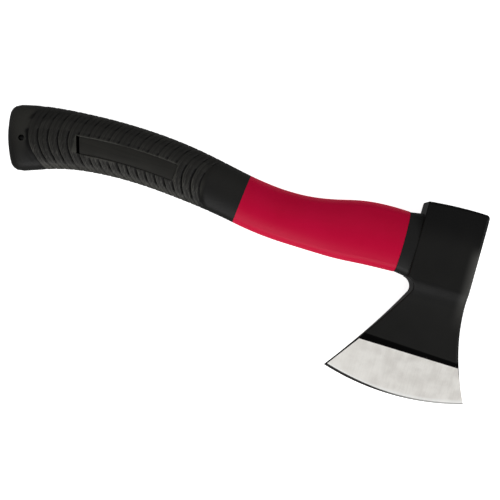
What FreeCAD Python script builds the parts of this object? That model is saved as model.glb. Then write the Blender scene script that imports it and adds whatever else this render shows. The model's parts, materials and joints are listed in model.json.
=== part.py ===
"""Hand axe with a forged head and a fibre-cored, rubber-gripped handle, lying on its side.

Frame: origin on the lower cheek's plane, under the centre of the eye. +X runs along the eye, away from
the handle; the cutting edge faces -Y and the poll +Y; +Z is up, across the blade. Millimetres.
"""

import FreeCAD, Part
import math
import os

V = FreeCAD.Vector

# ---------------------------------------------------------------- head
head_thickness = 25.0       # across the flat cheeks, beside the eye
head_width = 46.85          # near face to far face, along the eye
poll_height = 35.4          # eye axis to the crown of the poll
poll_near_drop = 1.7        # the crowned poll is this much lower at the near face
poll_far_drop = 0.0         # and this much lower at the far face
poll_thickness = 23.6       # across the poll
poll_corner_radius = 3.0    # far corner of the poll, seen from the side
edge_drop = 112.25          # eye axis to the lowest point of the cutting edge
edge_low_x = -9.6           # where that lowest point lies
heel_reach = 64.9           # heel corner, from the eye's centre towards the handle
heel_lift = 8.35            # heel corner above the edge's lowest point
toe_reach = 43.6            # toe corner, from the eye's centre away from the handle
toe_lift = 7.35             # toe corner above the edge's lowest point
sweep_drop = 21.7           # eye axis to where the far side starts its sweep out to the toe
notch_radius = 7.0          # hollow between the eye block and the beard
notch_depth = 5.95          # how far it bites into the near face
notch_drop = 31.4           # its centre below the eye axis
beard_bow = 1.4             # how far the beard's edge bows in from straight
cheek_flat_up = 24.0        # flat of the cheek above the eye axis
cheek_flat_down = 22.0      # flat of the cheek below the eye axis; the axe rests level on it
cheek_profile = ((31.0, 19.6), (43.0, 13.4), (56.0, 9.4))   # drop below the eye axis, thickness there
bevel_start_near = 73.5     # drop of the bevel's upper line under the near face
bevel_start_far = 76.0      # and under the far face
bevel_start_thickness = 7.2 # across the blade at that line
blade_draft = 0.028         # how fast half the blade thins under the bevel's upper line
ground_edge_thickness = 0.7 # left by the wide bevel
honed_edge_thickness = 0.16 # left by the narrow one
honed_edge_angle = 16.0     # degrees a side
near_edge_round = 1.0       # edge breaks round the cheeks, on the near face, notch and beard
far_edge_round = 2.4        # and on the poll and the far side

# ---------------------------------------------------------------- eye
eye_height = 37.0           # along Y, at the near face
eye_width = 15.2            # along Z, at the near face
eye_flare = 1.6             # how much wider and taller the eye is at the far face
eye_round_share = 0.86      # end radius of the eye's oval, as a share of half its width
resin_recess = 1.0          # the resin stands this far inside the far face
core_proud = 0.5            # the core's end stands this far out of the resin

# ---------------------------------------------------------------- handle
handle_length = 360.0       # butt to far face of the head
jacket_start = 9.75         # gap between the head's near face and the jacket, which the collar fills
oval_round_share = 0.74     # end radius of every handle oval, as a share of half its thickness
# share of the way from the near face to the butt, offset of the centreline in Y, width, thickness
handle_stations = (
    (0.000, 0.0, 45.9, 22.2),
    (0.034, 0.0, 46.6, 22.4),
    (0.092, -0.2, 47.4, 22.6),
    (0.150, -1.9, 46.3, 22.4),
    (0.213, -4.4, 42.3, 21.8),
    (0.292, -5.5, 38.6, 21.4),
    (0.370, -4.2, 37.8, 21.6),
    (0.442, -0.6, 37.4, 22.0),
    (0.516, 3.5, 38.7, 23.0),
    (0.610, 7.4, 40.3, 24.0),
    (0.725, 9.2, 41.2, 24.5),
    (0.832, 7.5, 43.1, 24.7),
    (0.910, 3.6, 46.8, 24.8),
    (0.965, -1.0, 49.2, 24.8),
    (1.020, -5.9, 49.4, 24.8),
)
grip_length = 179.5         # butt to the grip's front lip
grip_lip_lean = 6.3         # degrees the lip's top leans towards the head
grip_wall = 3.0             # rubber over the jacket, at the sides
grip_end_wall = 5.0         # rubber over the jacket's tail
butt_crown_radius = 150.0
butt_edge_round = 8.5
jacket_edge_break = 0.5     # chamfer on the jacket's front rim

# ---------------------------------------------------------------- core
core_eye_height = 28.0      # core's oval inside the eye
core_eye_width = 10.8
core_tail_height = 20.0     # and at its tail
core_tail_width = 9.6
core_tail_gap = 32.0        # tail to the butt's end
core_round_share = 0.8      # end radius of its oval, as a share of half its width

# ---------------------------------------------------------------- collar
collar_near_height = 46.0   # at the jacket
collar_near_width = 21.6
collar_far_height = 49.0    # at the head
collar_far_width = 23.4
collar_spigot = 3.0         # how far its spigot stops the mouth of the eye
spigot_clearance = 0.15

# ---------------------------------------------------------------- name plates
plate_start = 52.0          # butt to the recess
plate_recess_length = 75.3
plate_recess_height = 12.4
plate_recess_depth = 1.3
plate_offset = -3.5         # centre of the recess below the handle's centreline
plate_thickness = 0.9
plate_tail_gap = 1.6        # open slot at the butt end of the recess
plate_side_gap = 0.25

# ---------------------------------------------------------------- lanyard hole
lanyard_radius = 2.0
lanyard_inset = 11.1        # butt to the hole's centre
lanyard_offset = -1.2       # below the centreline

mid = head_thickness / 2
near_x = -head_width / 2
far_x = head_width / 2
butt_x = far_x - handle_length
jacket_front_x = near_x - jacket_start
grip_front_x = butt_x + grip_length
core_front_x = far_x - resin_recess + core_proud
REACH = 60.0                # how far cutting tools run past what they cut
TOUCH = 0.01                # two shapes nearer than this touch


def point(x, y, z=0.0):
    """A point given from the axe's middle plane."""
    return V(x, y, mid + z)


def arc(a, b, c):
    return Part.Arc(a, b, c).toShape()


def line(a, b):
    return Part.makeLine(a, b)


def slab(edges, low, high):
    """The outline's face, drawn on the middle plane, as a solid between two heights from it."""
    face = Part.Face(Part.Wire(Part.__sortEdges__(edges)))
    face.translate(V(0, 0, low))
    return face.extrude(V(0, 0, high - low))


def oval(centre, across, height, width, round_share):
    """A four-arc oval: height along across, width along Z, end radius round_share of half the width."""
    a, b = height / 2, width / 2
    end_r = round_share * b
    side_r = (a * a + b * b - 2 * a * end_r) / (2 * (b - end_r))
    touch_a = side_r * (a - end_r) / (side_r - end_r)
    touch_b = b - side_r + side_r * (side_r - b) / (side_r - end_r)

    def at(u, w):
        return centre + across * u + V(0, 0, w)

    return Part.Wire([
        arc(at(touch_a, -touch_b), at(a, 0), at(touch_a, touch_b)),
        arc(at(touch_a, touch_b), at(0, b), at(-touch_a, touch_b)),
        arc(at(-touch_a, touch_b), at(-a, 0), at(-touch_a, -touch_b)),
        arc(at(-touch_a, -touch_b), at(0, -b), at(touch_a, -touch_b)),
    ])


# ---------------------------------------------------------------- centreline
def station_x(share):
    return near_x + (butt_x - near_x) * share


def make_centreline():
    """The handle's centreline, from past the butt to the jacket's front, level with the eye's axis there."""
    points = [point(station_x(s), y) for s, y, _, _ in reversed(handle_stations)]
    curve = Part.BSplineCurve()
    lean = (points[1] - points[0]).normalize()
    curve.interpolate(Points=points, InitialTangent=lean, FinalTangent=V(1, 0, 0), Scale=True)
    return curve


centreline = make_centreline()


def centre_at(x):
    """(point, direction, across) of the handle's middle at x; straight along the eye's axis in front."""
    if x >= station_x(handle_stations[0][0]):
        return point(x, 0), V(1, 0, 0), V(0, 1, 0)
    low, high = centreline.FirstParameter, centreline.LastParameter
    halvings = 60
    for _ in range(halvings):
        middle = (low + high) / 2
        if centreline.value(middle).x < x:
            low = middle
        else:
            high = middle
    direction = centreline.tangent(low)[0].normalize()
    return centreline.value(low), direction, V(-direction.y, direction.x, 0)


def handle_loft(inset):
    """The handle's outside, or that outside taken in by inset, past the butt and up to the jacket's front."""
    wires = []
    for share, _, width, thickness in handle_stations:
        centre, _, across = centre_at(station_x(share))
        wires.append(oval(centre, across, width - 2 * inset, thickness - 2 * inset, oval_round_share))
    return Part.makeLoft(wires, True, False)


def behind(x):
    """A block that holds everything on the butt's side of x."""
    size = handle_length + 2 * REACH
    return Part.makeBox(size, size, size, V(x - size, -size / 2, mid - size / 2))


def behind_lip():
    """The same for the grip's front lip, which leans with the handle."""
    block = behind(grip_front_x)
    block.rotate(centre_at(grip_front_x)[0], V(0, 0, 1), -grip_lip_lean)
    return block


def butt_block(end_x, crown_radius):
    """What lies in front of the crowned end surface whose crown is at end_x on the centreline."""
    centre, direction, _ = centre_at(end_x)
    axis_at = centre + direction * crown_radius
    tall = head_thickness + 2 * REACH
    cylinder = Part.makeCylinder(crown_radius, tall, axis_at - V(0, 0, tall / 2))
    size = handle_length + 2 * REACH
    ahead = Part.makeBox(size, size, tall, V(end_x + crown_radius / 2, -size / 2, mid - tall / 2))
    return cylinder.fuse(ahead)


def rounded_end(solid, end_x, radius):
    """Rounds the rim of the solid's butt end."""
    centre, direction, _ = centre_at(end_x)
    near_end = 0.75 * radius
    rim = [e for e in solid.Edges
           if abs((e.CenterOfMass - centre).dot(direction)) < near_end and e.Length > radius]
    return solid.makeFillet(radius, rim)


# ---------------------------------------------------------------- head
def head_outline():
    """The side view of the head: near face, notch, beard, cutting edge, far side and crowned poll."""
    notch_centre = point(near_x + notch_depth - notch_radius, -notch_drop)
    reach_in = math.sqrt(notch_radius ** 2 - (notch_radius - notch_depth) ** 2)
    shoulder = point(near_x, -notch_drop + reach_in)
    heel = point(-heel_reach, heel_lift - edge_drop)
    toe = point(toe_reach, toe_lift - edge_drop)
    run = heel - notch_centre
    lean = math.atan2(run.y, run.x) + math.acos(notch_radius / run.Length)
    beard_top = notch_centre + V(math.cos(lean), math.sin(lean), 0) * notch_radius
    beard_run = heel - beard_top
    inwards = V(-beard_run.y, beard_run.x, 0).normalize()
    beard_middle = (beard_top + heel) * 0.5 + inwards * beard_bow
    notch_angle = math.atan2(shoulder.y - notch_centre.y, shoulder.x - notch_centre.x)
    notch_middle_angle = (notch_angle + lean) / 2
    notch_out = V(math.cos(notch_middle_angle), math.sin(notch_middle_angle), 0)
    notch_middle = notch_centre + notch_out * notch_radius

    sweep_x, sweep_y = toe.x - far_x, toe.y + sweep_drop
    sweep_radius = (sweep_x ** 2 + sweep_y ** 2) / (2 * sweep_x)
    half_turn = math.asin(-sweep_y / sweep_radius) / 2
    sweep_top = point(far_x, -sweep_drop)
    sweep_middle = point(far_x + sweep_radius * (1 - math.cos(half_turn)),
                         -sweep_drop - sweep_radius * math.sin(half_turn))

    near_top = point(near_x, poll_height - poll_near_drop)
    far_top = point(far_x, poll_height - poll_far_drop - poll_corner_radius)
    corner_end = point(far_x - poll_corner_radius, poll_height - poll_far_drop)
    slack = poll_corner_radius * (1 - math.sqrt(0.5))
    corner_middle = point(far_x - slack, poll_height - poll_far_drop - slack)
    return [
        line(near_top, shoulder),
        arc(shoulder, notch_middle, beard_top),
        arc(beard_top, beard_middle, heel),
        arc(heel, point(edge_low_x, -edge_drop), toe),
        arc(toe, sweep_middle, sweep_top),
        line(sweep_top, far_top),
        arc(far_top, corner_middle, corner_end),
        arc(corner_end, point(0, poll_height), near_top),
    ]


def cheek_half(drop):
    """Half the blade's thickness below the bevel's upper line, at a drop below the eye axis."""
    return bevel_start_thickness / 2 - (drop - bevel_start_near) * blade_draft


def cheek_prism():
    """Everything between the two cheeks, drawn across the blade and run along X."""
    low_y, top_y = -edge_drop - REACH / 2, poll_height + REACH / 2
    top_half = poll_thickness / 2 - (mid - poll_thickness / 2) * (REACH / 2) / (poll_height - cheek_flat_up)

    def side(sign):
        flat_end = point(0, -cheek_flat_down, sign * mid)
        blade_top = point(0, -bevel_start_near, sign * bevel_start_thickness / 2)
        blade_end = point(0, low_y, sign * cheek_half(-low_y))
        hollow = Part.BSplineCurve()
        through = [flat_end, *(point(0, -d, sign * t / 2) for d, t in cheek_profile), blade_top]
        hollow.interpolate(Points=through, InitialTangent=V(0, -1, 0),
                           FinalTangent=(blade_end - blade_top).normalize(), Scale=True)
        return [
            line(point(0, top_y, sign * top_half), point(0, cheek_flat_up, sign * mid)),
            line(point(0, cheek_flat_up, sign * mid), flat_end),
            hollow.toShape(),
            line(blade_top, blade_end),
        ]

    ends = [line(point(0, top_y, top_half), point(0, top_y, -top_half)),
            line(point(0, low_y, cheek_half(-low_y)), point(0, low_y, -cheek_half(-low_y)))]
    face = Part.Face(Part.Wire(Part.__sortEdges__(side(1) + side(-1) + ends)))
    face.translate(V(-heel_reach - REACH, 0, 0))
    return face.extrude(V(heel_reach + toe_reach + 2 * REACH, 0, 0))


def cheek_rims(solid, sides):
    """The edges where the cheeks meet the given sides of the outline."""
    middle_band = 2.0       # edges this near the middle plane run between the cheeks
    shortest = 0.5
    found = []
    for edge in solid.Edges:
        at = edge.valueAt((edge.FirstParameter + edge.LastParameter) / 2)
        ends = [vertex.Point for vertex in edge.Vertexes]
        if len(ends) < 2 or abs(at.z - mid) < middle_band:
            continue
        run = V(ends[0].x - ends[1].x, ends[0].y - ends[1].y, 0).Length
        seen = Part.Vertex(V(at.x, at.y, mid))
        if run > shortest and min(seen.distToShape(side)[0] for side in sides) < TOUCH:
            found.append(edge)
    return found


def edge_circle():
    """(centre, radius) of the cutting edge's arc."""
    curve = arc(point(-heel_reach, heel_lift - edge_drop), point(edge_low_x, -edge_drop),
                point(toe_reach, toe_lift - edge_drop)).Curve
    return curve.Center, curve.Radius


def bevel_cutter(sign):
    """What the wide bevel removes from one side: above a ruled face, a straight line to the edge's arc."""
    slope = (bevel_start_far - bevel_start_near) / head_width
    centre, radius = edge_circle()
    lead, past, margin = 12.0, 4.0, 25.0    # how far it runs out above, below and at the sides
    run = edge_drop - bevel_start_near
    fall = (bevel_start_thickness - ground_edge_thickness) / 2 / run
    x_low, x_high = -heel_reach - margin, toe_reach + margin

    def start(x):
        drop = bevel_start_near + (x - near_x) * slope
        return point(x, -drop + lead, sign * (cheek_half(drop) + lead * fall))

    def end(x):
        return V(x, centre.y - math.sqrt((radius + past) ** 2 - (x - centre.x) ** 2),
                 mid + sign * (ground_edge_thickness / 2 - past * fall))

    ruled = Part.makeRuledSurface(line(start(x_low), start(x_high)),
                                  arc(end(x_low), end((x_low + x_high) / 2), end(x_high)))
    return ruled.extrude(V(0, 0, sign * REACH))


def honed_cutter(sign):
    """What the narrow bevel removes from one side: outside a cone about the edge's own centre."""
    centre, radius = edge_circle()
    band = 10.0             # how far the cone runs each side of the edge
    fall = math.tan(math.radians(honed_edge_angle))
    half = honed_edge_thickness / 2
    profile = [V(radius - band, 0, half + band * fall), V(radius + band, 0, half - band * fall),
               V(radius + band, 0, REACH), V(radius - band, 0, REACH)]
    face = Part.Face(Part.makePolygon([*profile, profile[0]]))
    ring = face.revolve(V(0, 0, 0), V(0, 0, 1), 360)
    if sign < 0:
        ring = ring.mirror(V(0, 0, 0), V(0, 0, 1))
    ring.translate(centre)
    return ring


def eye_loft(start_x, end_x, gap=0.0):
    """The tapered eye between two places on its axis, taken in by gap."""

    def section(x):
        grow = eye_flare * (x - near_x) / head_width - 2 * gap
        return oval(point(x, 0), V(0, 1, 0), eye_height + grow, eye_width + grow, eye_round_share)

    return Part.makeLoft([section(start_x), section(end_x)], True, True)


def whole_eye():
    """The eye, run out past both faces of the head."""
    return eye_loft(near_x - jacket_start, far_x + jacket_start)


def make_head():
    outline = head_outline()
    blank = slab(outline, -REACH, REACH).common(cheek_prism())
    near_sides, far_sides = outline[:3], outline[4:]
    blank = blank.makeFillet(far_edge_round, cheek_rims(blank, far_sides))
    blank = blank.makeFillet(near_edge_round, cheek_rims(blank, near_sides))
    for sign in (1, -1):
        blank = blank.cut(bevel_cutter(sign))
        blank = blank.cut(honed_cutter(sign))
    return blank.cut(whole_eye())


# ---------------------------------------------------------------- handle pieces
def make_core():
    """The fibre rod: straight through the eye, then along the handle's centreline to its tail."""
    tail_share = (near_x - butt_x - core_tail_gap) / (near_x - butt_x)
    least_step = 0.02       # sections closer together than this would pinch
    across = V(0, 1, 0)
    front, mouth = (oval(point(x, 0), across, core_eye_height, core_eye_width, core_round_share)
                    for x in (core_front_x, near_x))
    bent = [mouth]
    for share in [s for s, _, _, _ in handle_stations if 0 < s < tail_share - least_step] + [tail_share]:
        sunk = share / tail_share
        centre, _, across = centre_at(station_x(share))
        height = core_eye_height + (core_tail_height - core_eye_height) * sunk
        width = core_eye_width + (core_tail_width - core_eye_width) * sunk
        bent.append(oval(centre, across, height, width, core_round_share))
    return Part.makeLoft([front, mouth], True, True).fuse(Part.makeLoft(bent, True, False))


def lanyard_cutter():
    centre, _, across = centre_at(butt_x + lanyard_inset)
    centre = centre + across * lanyard_offset
    return Part.makeCylinder(lanyard_radius, head_thickness + 2 * REACH, centre - V(0, 0, mid + REACH))


def make_jacket(inside, core):
    """Bare from the grip's lip to the collar, stepped down under the rubber behind it."""
    bare = handle_loft(0).cut(behind_lip()).common(behind(jacket_front_x))
    rim = [e for e in bare.Edges if abs(e.CenterOfMass.x - jacket_front_x) < TOUCH]
    bare = bare.makeChamfer(jacket_edge_break, rim)
    covered = inside.common(behind_lip())
    return bare.fuse(covered).removeSplitter().cut(core).cut(lanyard_cutter())


def plate_outline(gap, tail_gap):
    """A plate's outline on the handle: long sides along the handle, tail parallel to the butt's end."""
    half = plate_recess_height / 2 - gap
    tail_x = butt_x + plate_start + tail_gap
    front_x = butt_x + plate_start + plate_recess_length - gap
    tail_lean = centre_at(butt_x)[2]

    def at(x, side):
        centre, _, across = centre_at(x)
        return centre + across * (plate_offset + side * half)

    def tail(side):
        centre, _, across = centre_at(tail_x)
        return centre + across * plate_offset + tail_lean * (side * half)

    middle_x = (tail_x + front_x) / 2
    return [
        arc(tail(1), at(middle_x, 1), at(front_x, 1)),
        line(at(front_x, 1), at(front_x, -1)),
        arc(at(front_x, -1), at(middle_x, -1), tail(-1)),
        line(tail(-1), tail(1)),
    ]


def plate_shell(sign, gap, tail_gap, depth):
    """What lies in a plate's outline on one side of the handle, down to depth under its surface."""
    prism = slab(plate_outline(gap, tail_gap), 0, REACH)
    if sign < 0:
        prism = prism.mirror(point(0, 0), V(0, 0, 1))
    return prism.cut(handle_loft(depth))


def make_grip(inside):
    body = handle_loft(0).common(butt_block(butt_x, butt_crown_radius))
    body = rounded_end(body, butt_x, butt_edge_round).common(behind_lip())
    body = body.cut(inside).cut(lanyard_cutter())
    for sign in (1, -1):
        body = body.cut(plate_shell(sign, 0, 0, plate_recess_depth))
    return body


def make_plate(sign):
    under_surface = plate_recess_depth - plate_thickness
    shell = plate_shell(sign, plate_side_gap, plate_tail_gap, plate_recess_depth)
    return shell.common(handle_loft(under_surface))


def make_collar(core):
    flare = Part.makeLoft([
        oval(point(jacket_front_x, 0), V(0, 1, 0), collar_near_height, collar_near_width, oval_round_share),
        oval(point(near_x, 0), V(0, 1, 0), collar_far_height, collar_far_width, oval_round_share),
    ], True, True)
    spigot = eye_loft(near_x - jacket_start / 2, near_x + collar_spigot, spigot_clearance)
    return flare.fuse(spigot).cut(core)


def make_parts():
    inside = handle_loft(grip_wall).common(butt_block(butt_x + grip_end_wall, butt_crown_radius))
    core = make_core()
    resin = whole_eye().cut(behind(near_x + collar_spigot)).common(behind(far_x - resin_recess)).cut(core)
    return {
        "axe_head": make_head(),
        "glass_fibre_core": core,
        "handle_jacket": make_jacket(inside, core),
        "rubber_grip": make_grip(inside),
        "eye_collar": make_collar(core),
        "eye_resin": resin,
        "name_plate_upper": make_plate(1),
        "name_plate_lower": make_plate(-1),
    }


if __name__ == "__main__":
    os.makedirs("parts", exist_ok=True)
    for name, shape in make_parts().items():
        solid, = shape.Solids       # every piece is one solid
        solid.exportStep(os.path.join("parts", name + ".step"))
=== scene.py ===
"""The looks of a hand axe lying on its side: forged head, fibre-cored red handle, ribbed rubber grip.

Metres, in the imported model's frame: +X along the eye away from the handle, cutting edge towards -Y,
+Z up across the blade.
"""

import bpy
import json
import math
from mathutils import Matrix, Vector


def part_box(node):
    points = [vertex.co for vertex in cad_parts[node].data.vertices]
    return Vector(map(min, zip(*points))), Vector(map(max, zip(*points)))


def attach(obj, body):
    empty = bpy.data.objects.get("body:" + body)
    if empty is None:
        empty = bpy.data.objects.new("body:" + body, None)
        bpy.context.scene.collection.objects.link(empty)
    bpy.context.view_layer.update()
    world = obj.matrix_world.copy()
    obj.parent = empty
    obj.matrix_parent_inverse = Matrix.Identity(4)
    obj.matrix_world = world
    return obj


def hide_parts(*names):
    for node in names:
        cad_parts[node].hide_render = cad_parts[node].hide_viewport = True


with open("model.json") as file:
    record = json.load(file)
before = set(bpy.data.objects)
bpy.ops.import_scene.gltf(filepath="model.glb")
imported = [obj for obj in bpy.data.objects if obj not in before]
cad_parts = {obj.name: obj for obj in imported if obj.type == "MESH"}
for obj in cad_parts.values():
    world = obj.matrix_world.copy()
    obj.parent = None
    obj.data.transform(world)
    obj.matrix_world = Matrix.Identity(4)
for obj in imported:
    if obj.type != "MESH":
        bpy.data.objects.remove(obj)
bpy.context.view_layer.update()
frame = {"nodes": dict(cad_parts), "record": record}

MM = 0.001

# ---------------------------------------------------------------- sizes taken from the frame
head_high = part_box("axe_head")[1]
plate_low, plate_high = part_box("name_plate_upper")
mid_height = head_high.z / 2
hole = Vector(next(m["pos_m"] for m in frame["record"]["mounts"] if m["name"] == "lanyard_hole"))

# ---------------------------------------------------------------- driving sizes of the grip
grip_line = ((-343.8, -5.9), (-326.5, -1.0), (-309.2, 3.6), (-284.6, 7.5), (-250.9, 9.2),
             (-214.7, 7.4), (-185.2, 3.5), (-161.9, -0.6), (-139.2, -4.2))    # middle of the handle, mm
butt_at = 6.6 * MM              # how far along that line the butt's end lies
grip_wall = 3.0 * MM
ring_sides = 96
row_gap = 0.001 * MM            # points of a ring nearer in height than this are one row
ring_half_width = 25.5 * MM     # a little outside the grip all round
ring_half_thickness = 13.6 * MM
rib_pitch = 7.4 * MM
rib_count = 18
rib_depth = 1.0 * MM
rib_sweep = 11.0 * MM           # how far a rib's top leads its middle, towards the head
low_sweep = 14.0 * MM           # and its foot
first_rib = 16.7 * MM           # butt to the first rib, on the grip's middle
# share of a pitch past each groove, and how deep the rubber is there as a share of the groove's depth
rib_profile = ((0.0, 1.0), (0.08, 0.50), (0.14, 0.0), (0.22, 0.06), (0.29, 0.24), (0.35, 0.05), (0.43, 0.16),
               (0.50, 0.52), (0.57, 0.08), (0.65, 0.22), (0.72, 0.06), (0.83, 0.28), (0.92, 0.72))
last_ridge = 0.09 * rib_pitch   # from the last groove to the neck
neck_end = 186.0 * MM           # butt to the skin's front ring, before its lip is cut to length
neck_steps = 7
# rings from the first groove back to the butt: share of the way, share of the bow left, share of the width
butt_rings = ((0.25, 0.98, 1.0), (0.35, 0.93, 1.0), (0.5, 0.75, 1.0), (0.66, 0.45, 1.0), (0.8, 0.2, 1.0),
              (0.9, 0.0, 1.0), (1.0, 0.0, 0.94), (1.04, 0.0, 0.84), (1.06, 0.0, 0.68), (1.07, 0.0, 0.46),
              (1.07, 0.0, 0.22))
lip_lean = math.radians(6.3)    # the lip's top leans towards the head
lip_gap = 0.02 * MM
calm_strip = (5 * MM, 13 * MM)  # the ribs are fainter between these two heights over the handle's middle
calm_share = 0.45
side_fades = ((17.5 * MM, 0.65), (19.5 * MM, 0.45))    # beyond each height the ribs run out this much fainter
plate_margin = 0.9 * MM         # smooth frame round a name plate's recess
plate_half_height = 5.95 * MM
recess_gap = 0.25 * MM          # round a name plate
recess_level = 0.4 * MM         # the rubber is levelled this far round a recess
tail_slot = 2.3 * MM            # left open at its butt end
plate_stations = (0.06, 0.5, 0.94)        # shares of a plate's length at which its middle is measured
slice_half = 1.5 * MM
tail_reach = 4 * MM             # a plate's end corners lie within this of its end
end_face_depth = 0.3 * MM       # and the points of its end face this near to its end line
outer_face = 0.7                # a cutter's faces that look outwards at least this much are its outer face
cutter_lift = 3 * MM            # how far a recess's cutter stands out of the rubber
hole_radius = 2.0 * MM
hole_sides = 48
hole_level = 1.2 * MM           # the rubber is levelled this far round the hole
recess_smoothing = 250          # passes that level the rubber there
hole_smoothing = 60
broad_face = 5 * MM             # points further than this from the middle plane lie on a broad face
crease_angle = 38               # degrees

# ---------------------------------------------------------------- driving sizes of the set
lens_field = 374 * MM           # width that the camera takes in at the middle plane
camera_above = 700 * MM
camera_over = Vector((-140.925 * MM, -36.5 * MM))
camera_turn = math.radians(15.6)
floor_size = 6.0                # metres
floor_gap = 0.05 * MM
studio_glow = 0.24
merge_distance = 0.002 * MM


# ---------------------------------------------------------------- modelling helpers
def deselect_all():
    bpy.ops.object.select_all(action="DESELECT")


def use_only(piece):
    deselect_all()
    piece.select_set(True)
    bpy.context.view_layer.objects.active = piece


def edit(piece):
    use_only(piece)
    bpy.ops.object.mode_set(mode="EDIT")
    bpy.ops.mesh.select_mode(type="VERT")
    bpy.ops.mesh.select_all(action="DESELECT")


def leave_edit():
    bpy.ops.object.mode_set(mode="OBJECT")


def pick_points(piece, wanted):
    """Selects the points whose place passes the test, in edit mode."""
    bpy.ops.mesh.select_all(action="DESELECT")
    bpy.ops.object.mode_set(mode="OBJECT")
    for point in piece.data.vertices:
        point.select = wanted(point.co)
    bpy.ops.object.mode_set(mode="EDIT")


def apply_modifier(piece, kind, **settings):
    use_only(piece)
    modifier = piece.modifiers.new(kind.title(), kind)
    for key, value in settings.items():
        setattr(modifier, key, value)
    bpy.ops.object.modifier_apply(modifier=modifier.name)


def settle(piece):
    """Puts the piece's place into its mesh, so that its object sits at the origin."""
    use_only(piece)
    bpy.ops.object.transform_apply(location=True, rotation=True, scale=True)


def discard(*pieces):
    for piece in pieces:
        bpy.data.objects.remove(piece)


def copy_of(node, name):
    """A merged copy of a CAD node."""
    piece = frame["nodes"][node].copy()
    piece.data = piece.data.copy()
    piece.name = name
    piece.parent = None
    bpy.context.scene.collection.objects.link(piece)
    edit(piece)
    bpy.ops.mesh.select_all(action="SELECT")
    bpy.ops.mesh.remove_doubles(threshold=merge_distance)
    leave_edit()
    return piece


def smooth(piece, angle):
    use_only(piece)
    bpy.ops.object.shade_smooth_by_angle(angle=math.radians(angle))


# ---------------------------------------------------------------- camera, floor, light
def place_camera():
    camera = bpy.data.cameras.new("camera")
    camera.sensor_width = 36.0
    camera.lens = camera.sensor_width * camera_above / lens_field
    stand = bpy.data.objects.new("camera", camera)
    bpy.context.scene.collection.objects.link(stand)
    stand.location = (camera_over.x, camera_over.y, mid_height + camera_above)
    stand.rotation_euler = (0, 0, camera_turn)
    bpy.context.scene.camera = stand


def make_floor():
    deselect_all()
    bpy.ops.mesh.primitive_plane_add(size=floor_size, location=(camera_over.x, camera_over.y, -floor_gap))
    floor = bpy.context.object
    floor.name = "floor"
    settle(floor)
    floor.visible_glossy = False      # the steep sides of the head mirror the dim studio, not the paper
    return floor


def soft_light(name, towards, distance, size, watts):
    """A square soft box. towards is measured in the camera's own right, up and height directions."""
    light = bpy.data.lights.new(name, "AREA")
    light.shape = "SQUARE"
    light.size = size
    light.energy = watts
    lamp = bpy.data.objects.new(name, light)
    bpy.context.scene.collection.objects.link(lamp)
    aim = Vector((camera_over.x, camera_over.y, 0))
    direction = (Matrix.Rotation(camera_turn, 3, "Z") @ Vector(towards)).normalized()
    lamp.location = aim + direction * distance
    lamp.rotation_euler = direction.to_track_quat("Z", "Y").to_euler()


def light_the_set():
    world = bpy.data.worlds.new("studio")
    bpy.context.scene.world = world
    world.use_nodes = True
    sky = world.node_tree.nodes["Background"]
    sky.inputs["Color"].default_value = (1, 1, 1, 1)
    sky.inputs["Strength"].default_value = studio_glow
    soft_light("soft_box_front", towards=(-0.25, -1.0, 0.65), distance=1.6, size=1.0, watts=19)
    soft_light("soft_box_right", towards=(1.0, -0.1, 0.75), distance=1.5, size=0.5, watts=6)
    soft_light("soft_box_top", towards=(-0.2, 0.5, 1.4), distance=1.9, size=1.4, watts=3)
    bpy.context.scene.view_settings.view_transform = "Standard"


# ---------------------------------------------------------------- shader maths
class Value:
    """A number or colour inside a finish. Sums written with it add the Math nodes."""

    def __init__(self, finish, socket):
        self.finish = finish
        self.socket = socket

    def maths(self, operation, *values):
        return self.finish.node("ShaderNodeMath", {"operation": operation}, dict(enumerate(values)))

    def __add__(self, other):
        return self.maths("ADD", self, other)

    def __radd__(self, other):
        return self.maths("ADD", other, self)

    def __sub__(self, other):
        return self.maths("SUBTRACT", self, other)

    def __rsub__(self, other):
        return self.maths("SUBTRACT", other, self)

    def __mul__(self, other):
        return self.maths("MULTIPLY", self, other)

    def __rmul__(self, other):
        return self.maths("MULTIPLY", other, self)

    def __truediv__(self, other):
        return self.maths("DIVIDE", self, other)

    def __pow__(self, other):
        return self.maths("POWER", self, other)

    def __abs__(self):
        return self.maths("ABSOLUTE", self)

    def sqrt(self):
        return self.maths("SQRT", self)

    def rise(self, low, high):
        """0 below low, 1 above high, smooth between. With low above high it falls instead."""
        if low > high:
            return 1 - self.rise(high, low)
        return self.finish.node("ShaderNodeMapRange", {"interpolation_type": "SMOOTHSTEP"},
                                {0: self, 1: low, 2: high, 3: 0.0, 4: 1.0})


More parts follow.
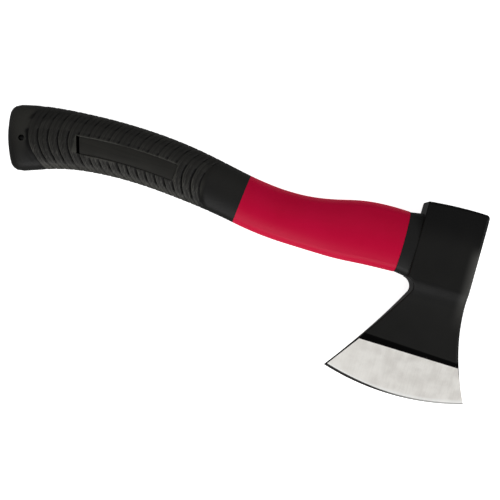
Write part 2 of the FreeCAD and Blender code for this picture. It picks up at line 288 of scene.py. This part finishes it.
class Finish:
    """A material whose nodes are added from Python."""

    def __init__(self, name):
        self.material = bpy.data.materials.new(name)
        self.material.use_nodes = True
        self.tree = self.material.node_tree
        self.tree.nodes.clear()
        self.place = self.node("ShaderNodeTexCoord", output="Object")

    def node(self, kind, settings=None, sockets=None, output=0):
        made = self.tree.nodes.new(kind)
        for key, value in (settings or {}).items():
            setattr(made, key, value)
        for key, value in (sockets or {}).items():
            if isinstance(value, Value):
                self.tree.links.new(value.socket, made.inputs[key])
            else:
                made.inputs[key].default_value = value
        return Value(self, made.outputs[output])

    def axes(self):
        """(x, y, z) of the place on the piece."""
        return [self.node("ShaderNodeSeparateXYZ", None, {0: self.place}, i) for i in range(3)]

    def stretched(self, scale, turn=0.0):
        """The place, turned about Z and scaled along its own axes."""
        return self.node("ShaderNodeMapping", {"vector_type": "POINT"},
                         {"Vector": self.place, "Rotation": (0, 0, turn), "Scale": scale})

    def facing(self, axis):
        """How far the surface looks along an axis, -1 to 1."""
        return self.node("ShaderNodeSeparateXYZ", None,
                         {0: self.node("ShaderNodeTexCoord", output="Normal")}, axis)

    def noise(self, scale, detail=3.0, roughness=0.5, place=None):
        sockets = {"Vector": place or self.place, "Scale": scale, "Detail": detail, "Roughness": roughness}
        return self.node("ShaderNodeTexNoise", None, sockets)

    def mix(self, share, first, second):
        """Blends two colours."""
        return self.node("ShaderNodeMix", {"data_type": "RGBA"}, {0: share, 6: first, 7: second}, 2)

    def bump(self, height, depth):
        return self.node("ShaderNodeBump", None, {"Height": height, "Strength": 1.0, "Distance": depth})

    def surface(self, **sockets):
        """A surface shader. Names are its sockets', with _ for a space."""
        named = {key.replace("_", " "): value for key, value in sockets.items()}
        return self.node("ShaderNodeBsdfPrincipled", None, named)

    def finish_with(self, surface):
        end = self.tree.nodes.new("ShaderNodeOutputMaterial")
        self.tree.links.new(surface.socket, end.inputs["Surface"])
        return self.material

    def done(self, **sockets):
        return self.finish_with(self.surface(**sockets))


def grey(level):
    return (level, level, level, 1)


def away_from(x, y, centre_x, centre_y):
    """Distance in the plane from a centre."""
    return ((x - centre_x) ** 2.0 + (y - centre_y) ** 2.0).sqrt()


# ---------------------------------------------------------------- places on the head
# A pair is where a tone starts to show and where it shows in full. A line is its ends: x, y, x, y.
bevel_line = (-43.9 * MM, -78.0 * MM, 33.2 * MM, -79.95 * MM)     # the lacquer is ground off below this
bevel_fade = (-0.1 * MM, 0.15 * MM)
beard_edge = (-44.9 * MM, -76.0 * MM, -63.0 * MM, -101.0 * MM)    # the blade's side towards the handle
beard_fade = (0.9 * MM, 1.4 * MM)
edge_points = ((-64.9 * MM, -103.9 * MM), (-9.6 * MM, -112.25 * MM), (43.6 * MM, -104.9 * MM))
facet_y = -73.5 * MM            # where the bevel's facet starts, under the near face
facet_slope = -2.5 / 46.85      # it starts 2.5 mm lower across the head's width
facet_fade = (-0.2 * MM, 0.5 * MM)
near_x = -23.4 * MM
head_far_x = 23.4 * MM
line_wander = 0.35 * MM         # unevenness of the ground and painted lines
honed_strip = (1.45 * MM, 1.10 * MM)      # from the cutting edge
heel_growth = 0.7 * MM          # the honed strip is this much wider at the heel
heel_zone = (0, -55 * MM)       # x
honed_reflection_fade = (-30 * MM, 38 * MM)           # x over which the painted dark reflection on the honed strip pales towards the toe
bright_strip_width = (4.2 * MM, 2.2 * MM)
slope_top = (-40 * MM, -32 * MM)          # y of the slope under the flat of the cheek
poll_shade_zone = (2 * MM, 22 * MM)             # y over which painted shade darkens the lacquer towards the poll
edge_highlight_foot = (-58 * MM, -16 * MM)        # y where the painted highlight along the far edge fades in
edge_highlight_top = (12 * MM, 0.0)
edge_highlight_width = (9 * MM, 0.5 * MM)
highlight_lacquer = (0.062, 0.061, 0.057, 1)   # painted highlight: the lacquer greyer along the far edge

# ---------------------------------------------------------------- places on the handle
plate_turn = -2.0               # degrees that a name plate lies off the handle's X
handle_half_width = 18 * MM
butt_middle = 0.9 * MM          # y of the handle's middle line at the first ribs
rib_start = (-321.5 * MM, -319 * MM)      # x on the handle's middle line
rib_stop = (-185 * MM, -190 * MM)
smooth_butt = (-318 * MM, -324 * MM)      # x
slot_blur = 0.1 * MM
slot_end = (0.25 * MM, 0.05 * MM)         # past the plate's end
slot_half_height = (6.2 * MM, 6.0 * MM)
rubber_hole_shade = (2.25 * MM, 2.1 * MM)     # painted shade inside the lanyard hole, measured from its middle
jacket_hole_shade = (2.6 * MM, 2.3 * MM)
rubber_flash = (0.3 * MM, 0.1 * MM)       # half width of the flash line along the mould's parting
jacket_flash = (0.25 * MM, 0.08 * MM)
paler_rubber = (0.040, 0.0390, 0.0340, 1)    # paler rubber: painted highlight on the rib crests, and the butt's up-facing face
highlight_streak_tone = (0.066, 0.0640, 0.0570, 1)   # painted highlight: fine pale streaks on the ribs' lower halves
shaded_rubber = grey(0.0040)


# ---------------------------------------------------------------- measuring helpers
def tail_corners(mesh):
    """The top and low corners of a name plate's end towards the butt."""
    near = [v.co.copy() for v in mesh.vertices if v.co.x < plate_low.x + tail_reach]
    return max(near, key=lambda co: co.y - co.x), min(near, key=lambda co: co.y + co.x)


def plate_tail():
    """The middle of a name plate's end towards the butt, and the direction in which the plate runs on."""
    top, low = tail_corners(frame["nodes"]["name_plate_upper"].data)
    lean = (top - low).to_2d().normalized()
    return (top + low) / 2, Vector((lean.y, -lean.x))


def circle_through(a, b, c):
    """Centre and radius of the circle through three points in the plane."""
    ax, ay, bx, by, cx, cy = *a, *b, *c
    twice = 2 * (ax * (by - cy) + bx * (cy - ay) + cx * (ay - by))
    sa, sb, sc = ax * ax + ay * ay, bx * bx + by * by, cx * cx + cy * cy
    x = (sa * (by - cy) + sb * (cy - ay) + sc * (ay - by)) / twice
    y = (sa * (cx - bx) + sb * (ax - cx) + sc * (bx - ax)) / twice
    return x, y, math.hypot(ax - x, ay - y)


# ---------------------------------------------------------------- finishes
def lacquered_steel():
    """Black lacquer on the forging, with the cutting bevels ground to bright satin steel."""
    f = Finish("lacquered_steel")
    x, y, _ = f.axes()
    x1, y1, x2, y2 = bevel_line
    slope = (y2 - y1) / (x2 - x1)
    below = (x * slope + (y1 - slope * x1)) - y
    wobble = (f.noise(900, 3) - 0.5) * line_wander
    flat = abs(f.facing(2)).rise(0.55, 0.8)
    bx1, by1, bx2, by2 = beard_edge
    beard_length = math.hypot(bx2 - bx1, by2 - by1)
    from_beard = (x - bx1) * ((by1 - by2) / beard_length) + (y - by1) * ((bx2 - bx1) / beard_length)
    off_beard = abs(from_beard).rise(*beard_fade)
    bare = (below + wobble).rise(*bevel_fade) * flat * off_beard
    facet = (x * facet_slope + (facet_y - facet_slope * near_x)) - y
    ridge = (facet + wobble).rise(*facet_fade)

    cx, cy, radius = circle_through(*edge_points)
    to_edge = radius - away_from(x, y, cx, cy)
    heel = x.rise(*heel_zone)
    honed = (to_edge + wobble * 0.4 - heel * heel_growth).rise(*honed_strip)
    bright_strip = to_edge.rise(*bright_strip_width) * (1 - honed)

    lean = math.radians(-3)
    fine = f.noise(1.0, 2, 0.6, f.stretched((5200, 130, 400), lean))
    coarse = f.noise(1.0, 3, 0.6, f.stretched((900, 45, 200), lean))
    clouds = f.noise(38, 3)
    mottle = f.noise(110, 4)
    brushed = fine * 0.35 + coarse * 0.3 + mottle.rise(0.30, 0.70) * 0.35
    steel = f.mix(brushed, (0.63, 0.60, 0.56, 1), (1.0, 0.985, 0.94, 1))
    steel = f.mix(heel * 0.35, steel, (0.97, 0.95, 0.90, 1))
    steel = f.mix(bright_strip * 0.6, steel, (0.97, 0.97, 0.95, 1))
    # The honed strip is a real narrow facet; its near-black tone at the heel, paling towards the toe, is a
    # painted dark reflection in that steeper facet.
    honed_dark_reflection = f.mix(x.rise(*honed_reflection_fade), (0.012, 0.012, 0.011, 1), (0.42, 0.42, 0.41, 1))
    steel = f.mix(honed, steel, honed_dark_reflection)
    lacquer = f.mix(clouds, (0.0065, 0.0065, 0.0060, 1), (0.0105, 0.0103, 0.0096, 1))
    # Painted shade: the lacquer is darkened on the slope below the flat of the cheek where it faces -Y, to
    # damp its sheen from the front light.
    painted_slope_shade = f.facing(1).rise(-0.04, -0.28) * y.rise(*slope_top)
    lacquer = f.mix(painted_slope_shade * 0.75, lacquer, grey(0.0022))
    # Painted shade: the lacquer is darker towards the poll, away from the light.
    lacquer = f.mix(y.rise(*poll_shade_zone) * 0.8, lacquer, grey(0.0012))
    # Painted highlight: the lacquer is painted paler along the far edge, where a light from the right would
    # gleam on its rounding.
    highlight_span = y.rise(*edge_highlight_foot) * y.rise(*edge_highlight_top)
    painted_edge_highlight = (head_far_x - x).rise(*edge_highlight_width) * highlight_span * (0.75 + clouds * 0.4)
    lacquer = f.mix(painted_edge_highlight, lacquer, highlight_lacquer)
    colour = f.mix(bare, lacquer, steel)

    peel = f.noise(520, 2)
    lacquer_rough = 0.46 + (f.noise(60, 4) - 0.5) * 0.16
    steel_rough = 0.42 + (fine - 0.5) * 0.16
    rough = lacquer_rough * (1 - bare) + steel_rough * bare
    height = (peel * 0.5 + f.noise(2600, 2) * 0.12) * (1 - bare) + (fine * 0.35 + coarse * 0.4) * bare
    normal = f.bump(height - bare * 0.6, depth=0.05 * MM)
    coated = f.surface(Base_Color=colour, Roughness=rough, Metallic=bare * 0.35, Normal=normal,
                       Specular_IOR_Level=0.13)
    # Painted shade: the top of the bevel's facet, just above the ground line, gets a darker matte black with
    # almost no sheen, for the facet tilting away from the light.
    shaded_band_surface = f.surface(Base_Color=f.mix(clouds, grey(0.0012), grey(0.0028)), Roughness=0.8 + clouds * 0.15,
                         Normal=normal, Specular_IOR_Level=0.02)
    painted_shade_band = ridge * flat * (1 - bare)
    return f.finish_with(f.node("ShaderNodeMixShader", None, {0: painted_shade_band, 1: coated, 2: shaded_band_surface}))


def red_plastic():
    """Moulded handle plastic: deep crimson with a soft sheen and a faint flash line along its edges."""
    f = Finish("red_plastic")
    x, y, z = f.axes()
    clouds = f.noise(26, 4, 0.55)
    specks = f.noise(1500, 2)
    colour = f.mix(clouds, (0.44, 0.0005, 0.0260, 1), (0.53, 0.0010, 0.0410, 1))
    # Painted shade inside the lanyard hole: the jacket is painted near black within its walls.
    lining = away_from(x, y, hole.x, hole.y).rise(*jacket_hole_shade)
    colour = f.mix(lining, colour, grey(0.002))
    flash = abs(z - mid_height).rise(*jacket_flash)
    grain = f.noise(2400, 2) * 0.3 + f.noise(340, 2) * 0.5
    rough = 0.42 + (clouds - 0.5) * 0.16 + (specks - 0.5) * 0.08
    normal = f.bump(grain + flash * 1.6, depth=0.03 * MM)
    return f.done(Base_Color=colour, Roughness=rough, Normal=normal, Specular_IOR_Level=0.09)


def black_rubber(name, dark, light, grain_depth, sheen_rough, ribbed=False):
    """Moulded rubber with a fine matte grain and a faint flash line.

    Ribbed rubber also has painted shade in its grooves, a painted highlight on its crests, and painted shade
    on the insides of the plate's slot and the hole.
    """
    f = Finish(name)
    x, y, z = f.axes()
    lower = f.facing(1).rise(0.35, -0.45)
    clouds = f.noise(45, 4)
    grain = f.noise(3200, 3, 0.6)
    colour = f.mix(clouds * 0.7 + grain * 0.3, dark, light)
    if ribbed:
        depth = f.node("ShaderNodeAttribute", {"attribute_name": "rib_depth"}, None, "Fac")
        behind = x - ((y - butt_middle) / handle_half_width) ** 2.0 * low_sweep
        ribs = behind.rise(*rib_start) * x.rise(*rib_stop)
        # The butt's up-facing face is painted paler.
        butt_top = x.rise(*smooth_butt) * f.facing(2).rise(0.6, 0.98)
        colour = f.mix(butt_top * 0.55, colour, paler_rubber)
        colour = f.mix(lower * (1 - ribs) * 0.8, colour, shaded_rubber)
        # Painted highlight on the crests of the ribs, strongest on the lower side that faces the front light.
        patches = f.noise(70, 3).rise(0.25, 0.75)
        crest_highlight = depth.rise(0.16, 0.0) * ribs * (0.25 + patches) * (0.45 + lower)
        highlighted_rubber = f.mix(crest_highlight, colour, paler_rubber)
        # Painted highlight: fine pale streaks along the ribs on their lower, light-facing halves.
        along_ribs = f.stretched((1100, 240, 240), math.radians(25))
        highlight_streaks = f.noise(1.0, 3, 0.6, along_ribs).rise(0.52, 0.70)
        highlighted_rubber = f.mix(highlight_streaks * lower * ribs * 0.7, highlighted_rubber, highlight_streak_tone)
        # Painted shade in the grooves: darker the deeper the rubber lies, less so on slopes facing +Y.
        upper = f.facing(1).rise(0.05, 0.55)
        colour = f.mix(depth.rise(0.30, 0.85) * (1 - upper * 0.45), highlighted_rubber, grey(0.0010))
        # Painted shade in the open slot at the plate's tail and inside the lanyard hole: an unlit black
        # surface is mixed in there.
        tail, onward = plate_tail()
        along = (x - tail.x) * onward.x + (y - tail.y) * onward.y
        in_slot = along.rise(-tail_slot - slot_blur, -tail_slot + slot_blur) * along.rise(*slot_end)
        in_slot = in_slot * abs(y - tail.y).rise(*slot_half_height)
        in_hole = away_from(x, y, hole.x, hole.y).rise(*rubber_hole_shade)
        deep = 1 - (1 - in_slot) * (1 - in_hole)
    else:
        colour = f.mix(lower * 0.6, colour, shaded_rubber)
    flash = abs(z - mid_height).rise(*rubber_flash)
    rough = sheen_rough + (clouds - 0.5) * 0.12 + (grain - 0.5) * 0.14
    normal = f.bump(grain + flash * 1.2, grain_depth)
    rubber = f.surface(Base_Color=colour, Roughness=rough, Normal=normal, Specular_IOR_Level=0.16)
    if not ribbed:
        return f.finish_with(rubber)
    unlit = f.surface(Base_Color=grey(0.0008), Roughness=0.9, Specular_IOR_Level=0.0)
    return f.finish_with(f.node("ShaderNodeMixShader", None, {0: deep, 1: rubber, 2: unlit}))


def plate_plastic():
    """A blank moulded plate with faint draw lines along its length."""
    f = Finish("plate_plastic")
    lines = f.noise(1.0, 3, 0.6, f.stretched((28, 1500, 400), math.radians(plate_turn)))
    clouds = f.noise(60, 3)
    colour = f.mix(lines * 0.7 + clouds * 0.3, (0.0030, 0.0029, 0.0026, 1), (0.0255, 0.0246, 0.0208, 1))
    normal = f.bump(lines, depth=0.06 * MM)
    return f.done(Base_Color=colour, Roughness=0.5 + lines * 0.15, Normal=normal, Specular_IOR_Level=0.18)


def cast_epoxy():
    f = Finish("epoxy")
    swirl = f.noise(160, 5, 0.6)
    pits = f.node("ShaderNodeTexVoronoi", None, {"Vector": f.place, "Scale": 420}).rise(0.10, 0.02)
    colour = f.mix(swirl, (0.045, 0.036, 0.022, 1), (0.085, 0.070, 0.042, 1))
    normal = f.bump(swirl * 0.5 - pits, depth=0.25 * MM)
    return f.done(Base_Color=colour, Roughness=0.38 + swirl * 0.25, Normal=normal)


def glass_fibre():
    """Sawn end of the fibre rod: pale resin full of fibre ends, streaked along its length."""
    f = Finish("glass_fibre")
    ends = f.noise(2600, 3, 0.7)
    streaks = f.noise(1.0, 4, 0.6, f.stretched((40, 1800, 1800)))
    colour = f.mix(ends * 0.6 + streaks * 0.4, (0.30, 0.23, 0.10, 1), (0.62, 0.53, 0.30, 1))
    normal = f.bump(ends + streaks, depth=0.06 * MM)
    return f.done(Base_Color=colour, Roughness=0.45 + ends * 0.25, Normal=normal)


def floor_paper():
    f = Finish("floor_paper")
    fibres = f.noise(60, 4)
    colour = f.mix(fibres, grey(0.86), grey(0.88))
    return f.done(Base_Color=colour, Roughness=0.9, Specular_IOR_Level=0.1,
                  Emission_Color=(1, 1, 1, 1), Emission_Strength=0.85)


# ---------------------------------------------------------------- grip
def make_grip_path():
    """The handle's middle line as a curve, from the butt to in front of the grip."""
    bpy.ops.curve.primitive_bezier_curve_add(location=(0, 0, 0))
    path = bpy.context.object
    path.data.dimensions = "2D"
    path.data.resolution_u = 24
    points = path.data.splines[0].bezier_points
    points.add(len(grip_line) - len(points))
    for point, (x, y) in zip(points, grip_line):
        point.co = (x * MM, y * MM, 0)
        point.handle_left_type = "AUTO"
        point.handle_right_type = "AUTO"
    return path


def extrude_ring(step, depth):
    """Pulls the selected ring on by step, and notes how deep its rubber lies."""
    bpy.ops.mesh.extrude_region_move(TRANSFORM_OT_translate={"value": (step, 0, 0)})
    note_depth(depth)


def note_depth(depth):
    bpy.context.scene.tool_settings.vertex_group_weight = depth
    bpy.ops.object.vertex_group_assign()


def bow(y):
    """How far a rib leads its own middle at a height over the handle's middle line."""
    return (rib_sweep if y > 0 else low_sweep) * (y / ring_half_width) ** 2


def bow_ring(ring):
    """Leads the ring's top and bottom towards the head, more the further out they lie."""
    for height in sorted({round(v.co.y, 7) for v in ring.data.vertices}):
        pick_points(ring, lambda co: abs(co.y - height) < row_gap)
        bpy.ops.transform.translate(value=(bow(height), 0, 0))


def make_first_ring(at):
    """The bowed ring at the first rib, which the whole skin is pulled from. It is left in edit mode."""
    bpy.ops.mesh.primitive_circle_add(vertices=ring_sides, radius=ring_half_width, fill_type="NOTHING",
                                      rotation=(0, math.pi / 2, 0))
    ring = bpy.context.object
    ring.name = "rubber_grip_ribbed"
    settle(ring)
    ring.vertex_groups.new(name="rib")
    edit(ring)
    bpy.ops.mesh.select_all(action="SELECT")
    bpy.ops.transform.resize(value=(1, 1, ring_half_thickness / ring_half_width))
    bow_ring(ring)
    bpy.ops.mesh.select_all(action="SELECT")
    bpy.ops.transform.translate(value=(at, 0, 0))
    note_depth(rib_profile[0][1])
    return ring


def pull_ribs(at):
    """Pulls the ring on through every rib, and gives where it ends."""
    shares = [share for share, _ in rib_profile]
    depths = [depth for _, depth in rib_profile]
    steps = [b - a for a, b in zip(shares, shares[1:] + [1.0])]
    for _ in range(rib_count):
        for step, depth in zip(steps, depths[1:] + depths[:1]):
            extrude_ring(step * rib_pitch, depth)
            at += step * rib_pitch
    extrude_ring(last_ridge, 0.0)
    return at + last_ridge


def pull_neck(at):
    """Pulls the ring on along the neck, where the bow runs out."""
    step = (neck_end + butt_at - at) / neck_steps
    for i in range(neck_steps):
        left = 1 - i / neck_steps
        next_left = 1 - (i + 1) / neck_steps
        extrude_ring(step, 0.0)
        at += step
        bpy.ops.transform.resize(value=(next_left / left, 1, 1), center_override=(at, 0, 0))


def pull_butt(start):
    """Pulls the selected first ring back to the butt, where the bow runs out, and closes it."""
    at = start
    left = 1.0
    width = 1.0
    for share, next_left, next_width in butt_rings:
        target = start - share * first_rib
        extrude_ring(target - at, 0.0)
        at = target
        flatten = next_left / left if left > 0 else 1
        grow = next_width / width
        bpy.ops.transform.resize(value=(flatten, grow, grow), center_override=(at, 0, 0))
        left = next_left
        width = next_width
    extrude_ring(0, 0.0)
    bpy.ops.mesh.merge(type="CENTER")
    note_depth(0.0)


def fade_ribs(skin, wanted, share):
    """Leaves the ribs only a share of their depth where the test passes."""
    pick_points(skin, wanted)
    bpy.ops.object.vertex_group_levels(group_select_mode="ACTIVE", offset=0, gain=share)


def make_grip_skin():
    """The grip's outer skin, straight: a bowed ring pulled along the ribs and the neck, and to the butt."""
    start = butt_at + first_rib
    skin = make_first_ring(start)
    pull_neck(pull_ribs(start))
    pick_points(skin, lambda co: co.x < start + bow(co.y) + 0.01 * MM)
    pull_butt(start)
    fade_ribs(skin, lambda co: calm_strip[0] < co.y < calm_strip[1], calm_share)
    for height, share in side_fades:
        fade_ribs(skin, lambda co: abs(co.y) > height, share)
    bpy.ops.mesh.select_all(action="SELECT")
    bpy.ops.transform.translate(value=(0, 0, mid_height))
    bpy.ops.mesh.normals_make_consistent(inside=False)
    leave_edit()
    return skin


def plate_middle():
    """y of a name plate's middle line as a function of x, and the line's slope at the plate's tail."""
    points = [v.co for v in frame["nodes"]["name_plate_upper"].data.vertices]
    spots = []
    for share in plate_stations:
        x = plate_low.x + (plate_high.x - plate_low.x) * share
        across = [p.y for p in points if abs(p.x - x) < slice_half]
        spots.append((x, (min(across) + max(across)) / 2))
    (x0, y0), (x1, y1), (x2, y2) = spots
    rise = (y1 - y0) / (x1 - x0)
    bend = ((y2 - y1) / (x2 - x1) - rise) / (x2 - x0)

    def middle(x):
        return y0 + rise * (x - x0) + bend * (x - x0) * (x - x1)

    return middle, rise + bend * (x0 - x1)


def over_plate(margin):
    """A test for places over a name plate's recess and a margin round it."""
    middle = plate_middle()[0]
    half = plate_half_height + recess_gap + margin

    def inside(co):
        along = plate_low.x - tail_slot - margin < co.x < plate_high.x + recess_gap + margin
        return along and abs(co.y - middle(co.x)) < half and abs(co.z - mid_height) > broad_face

    return inside


def near_hole(margin):
    def inside(co):
        return (co - hole).to_2d().length < hole_radius + margin and abs(co.z - mid_height) > broad_face

    return inside


def make_recess_cutter(node):
    """A name plate grown by its gap, with the open slot at its tail, to press its recess with."""
    cutter = copy_of(node, node + "_recess")
    side = 1 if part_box(node)[0].z > mid_height else -1
    edit(cutter)
    bpy.ops.mesh.select_all(action="SELECT")
    bpy.ops.transform.shrink_fatten(value=recess_gap, use_even_offset=True)
    leave_edit()
    edit(cutter)
    slope = plate_middle()[1]
    top, low = tail_corners(cutter.data)
    lean = (top - low).to_2d().normalized()
    pick_points(cutter, lambda co: abs((co - low).to_2d().cross(lean)) < end_face_depth)
    back = (tail_slot - recess_gap) / math.hypot(1, slope)
    bpy.ops.transform.translate(value=(-back, -back * slope, 0))
    bpy.ops.mesh.select_all(action="DESELECT")
    leave_edit()
    for face in cutter.data.polygons:
        face.select = face.normal.z * side > outer_face
    bpy.ops.object.mode_set(mode="EDIT")
    bpy.ops.transform.translate(value=(0, 0, side * cutter_lift))
    leave_edit()
    return cutter


def make_hole_cutter():
    bpy.ops.mesh.primitive_cylinder_add(vertices=hole_sides, radius=hole_radius, depth=4 * mid_height,
                                        location=hole)
    cutter = bpy.context.object
    settle(cutter)
    return cutter


def cut_lip(skin):
    """Cuts the skin to length at the lip, which leans as the plain grip's does."""
    corner = max((v.co for v in frame["nodes"]["rubber_grip"].data.vertices), key=lambda co: co.x)
    ahead = Vector((math.cos(lip_lean), -math.sin(lip_lean), 0))
    edit(skin)
    bpy.ops.mesh.select_all(action="SELECT")
    bpy.ops.mesh.bisect(plane_co=corner - ahead * lip_gap, plane_no=ahead, clear_outer=True)
    leave_edit()


def make_handle_outside():
    """The plain grip and the jacket as one surface, which runs on smoothly past the lip."""
    outside = copy_of("rubber_grip", "handle_outside")
    jacket = copy_of("handle_jacket", "jacket_outside")
    use_only(outside)
    jacket.select_set(True)
    bpy.ops.object.join()
    return outside


def paint_depth(skin):
    """Keeps how deep each point of the ribs lies as a colour, which the rubber's finish reads."""
    use_only(skin)
    skin.vertex_groups.active = skin.vertex_groups["rib"]
    bpy.ops.geometry.color_attribute_add(name="rib_depth", domain="POINT", data_type="FLOAT_COLOR")
    bpy.ops.object.mode_set(mode="VERTEX_PAINT")
    bpy.ops.paint.vertex_color_from_weight()
    leave_edit()


def make_grip():
    """The ribbed grip: bent along the handle, laid on the plain grip's surface, walled, ribbed and cut."""
    skin = make_grip_skin()
    path = make_grip_path()
    apply_modifier(skin, "CURVE", object=path, deform_axis="POS_X")
    discard(path)

    outside = make_handle_outside()
    apply_modifier(skin, "SHRINKWRAP", target=outside, wrap_method="NEAREST_SURFACEPOINT",
                   wrap_mode="ON_SURFACE")
    discard(outside)
    cut_lip(skin)
    edit(skin)
    pick_points(skin, over_plate(recess_level))
    bpy.ops.mesh.vertices_smooth(factor=0.5, repeat=recess_smoothing)
    pick_points(skin, near_hole(hole_level))
    bpy.ops.mesh.vertices_smooth(factor=0.5, repeat=hole_smoothing)
    pick_points(skin, over_plate(plate_margin))
    bpy.ops.object.vertex_group_remove_from()
    leave_edit()

    skin.vertex_groups.new(name="lining")
    apply_modifier(skin, "SOLIDIFY", thickness=grip_wall, offset=-1, use_even_offset=False, use_rim=True,
                   shell_vertex_group="lining")
    edit(skin)
    skin.vertex_groups.active = skin.vertex_groups["lining"]
    bpy.ops.object.vertex_group_select()
    skin.vertex_groups.active = skin.vertex_groups["rib"]
    bpy.ops.object.vertex_group_remove_from()
    leave_edit()
    apply_modifier(skin, "DISPLACE", vertex_group="rib", strength=-rib_depth, mid_level=0)

    for cutter in (make_recess_cutter("name_plate_upper"), make_recess_cutter("name_plate_lower"),
                   make_hole_cutter()):
        apply_modifier(skin, "BOOLEAN", object=cutter, operation="DIFFERENCE", solver="EXACT")
        discard(cutter)
    paint_depth(skin)
    smooth(skin, crease_angle)
    return skin


# ---------------------------------------------------------------- making
place_camera()
floor = make_floor()
floor.data.materials.append(floor_paper())
light_the_set()

deselect_all()
grip = make_grip()
grip.data.materials.append(black_rubber("grip_rubber", dark=(0.010, 0.0098, 0.0088, 1),
                                        light=(0.017, 0.0165, 0.015, 1), grain_depth=0.05 * MM,
                                        sheen_rough=0.5, ribbed=True))
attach(grip, "root")
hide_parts("rubber_grip")

finishes = {
    "axe_head": lacquered_steel(),
    "handle_jacket": red_plastic(),
    "eye_collar": black_rubber("collar_rubber", dark=(0.008, 0.008, 0.0078, 1),
                               light=(0.013, 0.013, 0.0125, 1), grain_depth=0.03 * MM, sheen_rough=0.5),
    "eye_resin": cast_epoxy(),
    "glass_fibre_core": glass_fibre(),
    "name_plate_upper": plate_plastic(),
}
finishes["name_plate_lower"] = finishes["name_plate_upper"]
for node, finish in finishes.items():
    frame["nodes"][node].data.materials[0] = finish

deselect_all()
